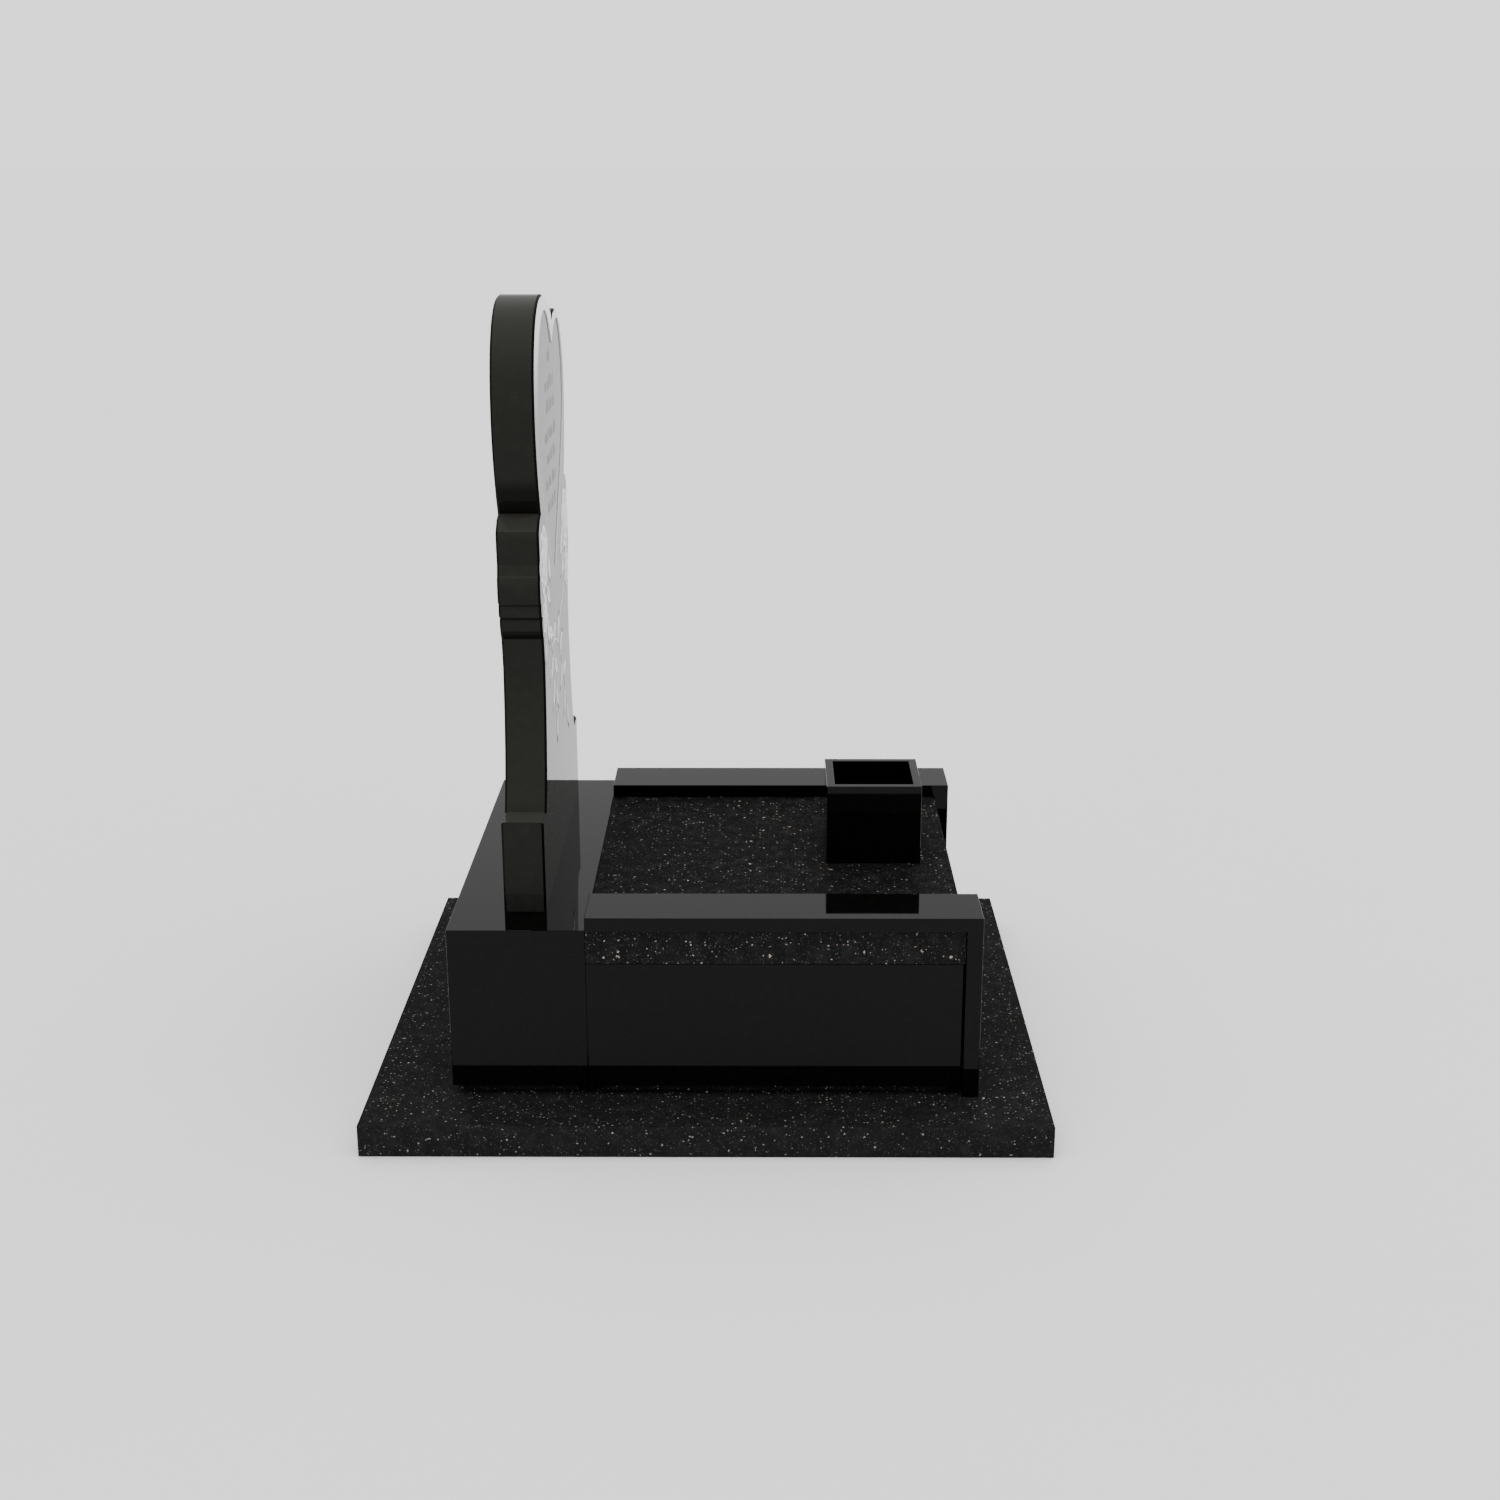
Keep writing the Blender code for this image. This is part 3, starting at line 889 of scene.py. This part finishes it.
def make_leaf():
    deselect_all()
    bpy.ops.mesh.primitive_cylinder_add(vertices=LEAF_SIDES, radius=1.0, depth=1.0, location=(0, 0, 0.5))
    leaf = bpy.context.object
    leaf.name = "leaf"
    bpy.ops.object.transform_apply(location=True, rotation=False, scale=False)
    bpy.ops.object.mode_set(mode="EDIT")
    select_where("verts", lambda v: v.co.x > 0.6)
    bpy.ops.transform.resize(value=(1.0, 0.62, 1.0))
    select_where("verts", lambda v: v.co.x > 0.9)
    bpy.ops.transform.translate(value=(0.42, 0.0, 0.0))
    select_where("verts", lambda v: v.co.x < -0.9)
    bpy.ops.transform.resize(value=(1.0, 0.3, 1.0))
    bpy.ops.transform.translate(value=(-0.12, 0.0, 0.0))
    select_where("verts", lambda v: v.co.z > 0.5)
    bpy.ops.transform.translate(value=(0.0, 0.0, -0.55))
    select_where("faces", lambda face: face.normal.z > 0.9)
    bpy.ops.mesh.inset(thickness=0.30)
    bpy.ops.transform.translate(value=(0.0, 0.0, 0.45))
    bpy.ops.mesh.select_all(action="SELECT")
    bpy.ops.mesh.bisect(plane_co=(0, 0, 0), plane_no=(0, 1, 0))
    select_where("verts", lambda v: abs(v.co.y) < 0.01 and v.co.z > 0.4 and abs(v.co.x) < 1.3)
    bpy.ops.transform.translate(value=(0.0, 0.0, -0.35))
    bpy.ops.object.mode_set(mode="OBJECT")
    # Painted shade in the vein and a painted highlight on the blade.
    mark_relief_shade(leaf, lambda place: 0.35 if abs(place.y) < 0.01 else 0.60 + 0.4 * place.z)
    return leaf


leaf = make_leaf()
print("one leaf:", len(leaf.data.polygons), "faces")

# %% Lay the leaves
LEAVES = (
    (-0.139, 0.627, 0.028, 0.012, -57),
    (-0.106, 0.572, 0.032, 0.013, -57),
    (-0.132, 0.527, 0.030, 0.012, -38),
    (-0.150, 0.470, 0.030, 0.012, -70),
    (-0.196, 0.445, 0.026, 0.010, -100),
    (0.162, 0.625, 0.028, 0.012, 231),
    (0.119, 0.570, 0.032, 0.013, 231),
    (0.132, 0.525, 0.030, 0.012, 216),
    (-0.108, 0.452, 0.030, 0.011, -20),
    (-0.052, 0.440, 0.030, 0.011, 25),
    (-0.104, 0.385, 0.032, 0.011, 215),
    (-0.040, 0.372, 0.030, 0.011, -35),
    (-0.090, 0.330, 0.030, 0.010, 235),
    (-0.034, 0.312, 0.028, 0.010, -55),
    (-0.048, 0.262, 0.030, 0.010, -88),
    (0.018, 0.430, 0.028, 0.011, 60),
    (0.058, 0.392, 0.030, 0.011, 35),
    (0.052, 0.330, 0.030, 0.010, 225),
    (0.108, 0.330, 0.030, 0.010, 5),
    (0.098, 0.268, 0.028, 0.010, 240),
    (0.146, 0.228, 0.030, 0.010, -66),
)
LEAF_HEIGHT = 0.0018
leaves = []
for across, level, length, width, turned in LEAVES:
    shape = Matrix.Diagonal((length, width, LEAF_HEIGHT, 1.0))
    leaves.append(copied(leaf, on_front(across, level, turned) @ shape))
bpy.data.objects.remove(leaf)
print("leaves:", len(leaves))

# %% Sweep the stems
STEM_RADIUS = 0.0014
STEM_RELIEF_SHADE = 0.75
FOLIAGE_SMOOTHING = math.radians(40)
STEMS = (
    ((-0.170, 0.490), (-0.120, 0.440), (-0.084, 0.400), (-0.066, 0.330), (-0.050, 0.250)),
    ((-0.100, 0.425), (-0.020, 0.418), (0.050, 0.370), (0.098, 0.310), (0.142, 0.236)),
    ((0.168, 0.500), (0.110, 0.470), (0.060, 0.450), (0.010, 0.405)),
)


def make_stem(points):
    deselect_all()
    bpy.ops.curve.primitive_bezier_curve_add(location=(0, 0, 0))
    stem = bpy.context.object
    line = stem.data.splines[0]
    line.bezier_points.add(len(points) - 2)
    for point, (across, level) in zip(line.bezier_points, points):
        point.co = (FRONT - SINK, across, BASE + level)
        point.handle_left_type = "AUTO"
        point.handle_right_type = "AUTO"
    stem.data.bevel_depth = STEM_RADIUS
    stem.data.bevel_resolution = 3
    stem.data.resolution_u = 8
    stem.data.use_fill_caps = True
    bpy.ops.object.convert(target="MESH")
    # Painted highlight: the stems are painted mostly pale.
    mark_relief_shade(bpy.context.object, lambda place: STEM_RELIEF_SHADE)
    return bpy.context.object


foliage = joined(leaves + [make_stem(points) for points in STEMS], "carved_leaves")
bpy.ops.object.shade_smooth_by_angle(angle=FOLIAGE_SMOOTHING)
foliage.data.materials.clear()
foliage.data.materials.append(frosted_carving.material)
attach(foliage, "root")
print("foliage:", len(foliage.data.polygons), "faces")

# %% [markdown]
# ## Floor finish
#
# The floor is a plain pale board with a faint unevenness.

# %% Floor
BOARD_ROUGHNESS = 0.9
BOARD_INDEX = 1.4
BOARD_LIGHT = (0.85, 0.85, 0.85, 1.0)

board = Finish("pale_floor", BOARD_ROUGHNESS, BOARD_INDEX)
board_cloud = board.noise(2.0, 2.0)
board.end_in("Base Color", board.blend(board_cloud, FLOOR_TONE, BOARD_LIGHT))
floor.data.materials.append(board.material)
